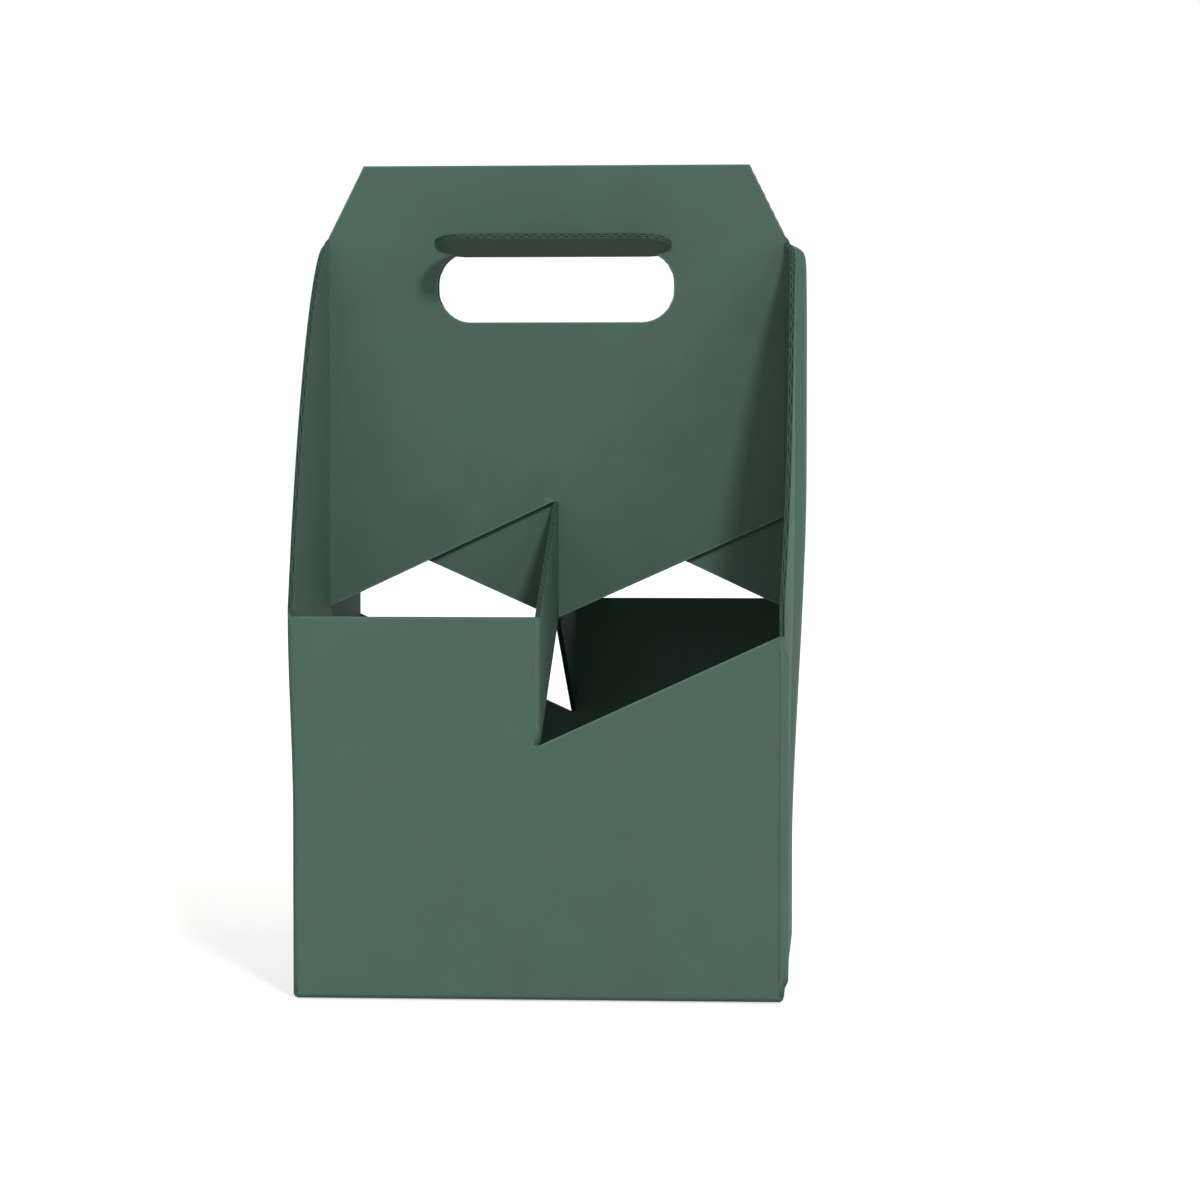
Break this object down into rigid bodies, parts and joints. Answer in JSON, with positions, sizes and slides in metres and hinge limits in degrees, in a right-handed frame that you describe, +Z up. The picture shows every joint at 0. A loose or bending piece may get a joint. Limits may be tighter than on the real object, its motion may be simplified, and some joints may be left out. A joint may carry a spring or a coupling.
{
  "type": "wine bottle carrier",
  "caption": "Folding corrugated-board wine bottle carrier with a central hand-slot panel, slanted dividers and tall curved end gussets; folds flat about its creases.",
  "frame": {"origin": "centre of the base, on the surface the carrier stands on", "axes": "+Z up, +X to the right seen from the front, front wall towards -Y"},
  "size_m": [0.188, 0.185, 0.319],
  "materials": {
    "green_board": "matte printed paper liner",
    "hot_melt": "satin hot-melt glue"
  },
  "bodies": {
    "handle": {"front_handle_panel": "green_board", "rear_handle_panel": "green_board", "front_gusset_tab": "green_board", "rear_gusset_tab": "green_board", "upper_glue_bead": "hot_melt", "middle_glue_bead": "hot_melt", "lower_glue_bead": "hot_melt"},
    "front_handle_flap": {"front_handle_flap": "green_board"},
    "rear_handle_flap": {"rear_handle_flap": "green_board"},
    "front_left_gusset": {"front_left_gusset": "green_board"},
    "front_right_gusset": {"front_right_gusset": "green_board", "front_seam_flap": "green_board"},
    "front_wall": {"front_wall": "green_board"},
    "front_divider": {"front_divider": "green_board"},
    "front_base_flap": {"front_base_flap": "green_board"},
    "rear_left_gusset": {"rear_left_gusset": "green_board"},
    "rear_right_gusset": {"rear_right_gusset": "green_board", "rear_seam_flap": "green_board"},
    "rear_wall": {"rear_wall": "green_board"},
    "rear_divider": {"rear_divider": "green_board"},
    "rear_base_flap": {"rear_base_flap": "green_board"}
  },
  "joints": [
    {"name": "handle_flap_swing", "type": "hinge", "parent": "handle", "child": "front_handle_flap", "pos_m": [0, -0.0025, 0.285], "axis": [-1, 0, 0], "range_deg": [-102, 60]},
    {"name": "rear_handle_flap_swing", "type": "hinge", "parent": "handle", "child": "rear_handle_flap", "pos_m": [0, 0.0025, 0.285], "axis": [1, 0, 0], "range_deg": [-102, 60]},
    {"name": "front_fold", "type": "hinge", "parent": "handle", "child": "front_left_gusset", "pos_m": [-0.0905, -0.0025, 0.15], "axis": [0, 0, -1], "range_deg": [0, 88]},
    {"name": "front_wall_fold", "type": "hinge", "parent": "front_left_gusset", "child": "front_wall", "pos_m": [-0.0905, -0.0905, 0.07], "axis": [0, 0, 1], "range_deg": [0, 88]},
    {"name": "front_right_fold", "type": "hinge", "parent": "handle", "child": "front_right_gusset", "pos_m": [0.0905, -0.0025, 0.15], "axis": [0, 0, -1], "range_deg": [0, 88]},
    {"name": "front_divider_fold", "type": "hinge", "parent": "handle", "child": "front_divider", "pos_m": [-0.001, -0.0025, 0.16], "axis": [0, 0, -1], "range_deg": [0, 88]},
    {"name": "front_base_swing", "type": "hinge", "parent": "front_wall", "child": "front_base_flap", "pos_m": [0, -0.0905, 0.002], "axis": [-1, 0, 0], "range_deg": [0, 88]},
    {"name": "rear_fold", "type": "hinge", "parent": "handle", "child": "rear_left_gusset", "pos_m": [0.0905, 0.0025, 0.15], "axis": [0, 0, -1], "range_deg": [0, 88]},
    {"name": "rear_wall_fold", "type": "hinge", "parent": "rear_left_gusset", "child": "rear_wall", "pos_m": [0.0905, 0.0905, 0.07], "axis": [0, 0, 1], "range_deg": [0, 88]},
    {"name": "rear_right_fold", "type": "hinge", "parent": "handle", "child": "rear_right_gusset", "pos_m": [-0.0905, 0.0025, 0.15], "axis": [0, 0, -1], "range_deg": [0, 88]},
    {"name": "rear_divider_fold", "type": "hinge", "parent": "handle", "child": "rear_divider", "pos_m": [0.001, 0.0025, 0.16], "axis": [0, 0, -1], "range_deg": [0, 88]},
    {"name": "rear_base_swing", "type": "hinge", "parent": "rear_wall", "child": "rear_base_flap", "pos_m": [0, 0.0905, 0.002], "axis": [1, 0, 0], "range_deg": [0, 88]}
  ],
  "couplings": [
    {"joint": "front_wall_fold", "follows": "front_fold", "ratio": 1},
    {"joint": "front_right_fold", "follows": "front_fold", "ratio": 1},
    {"joint": "front_divider_fold", "follows": "front_fold", "ratio": 1},
    {"joint": "front_base_swing", "follows": "front_fold", "ratio": 1},
    {"joint": "rear_wall_fold", "follows": "rear_fold", "ratio": 1},
    {"joint": "rear_right_fold", "follows": "rear_fold", "ratio": 1},
    {"joint": "rear_divider_fold", "follows": "rear_fold", "ratio": 1},
    {"joint": "rear_base_swing", "follows": "rear_fold", "ratio": 1}
  ]
}
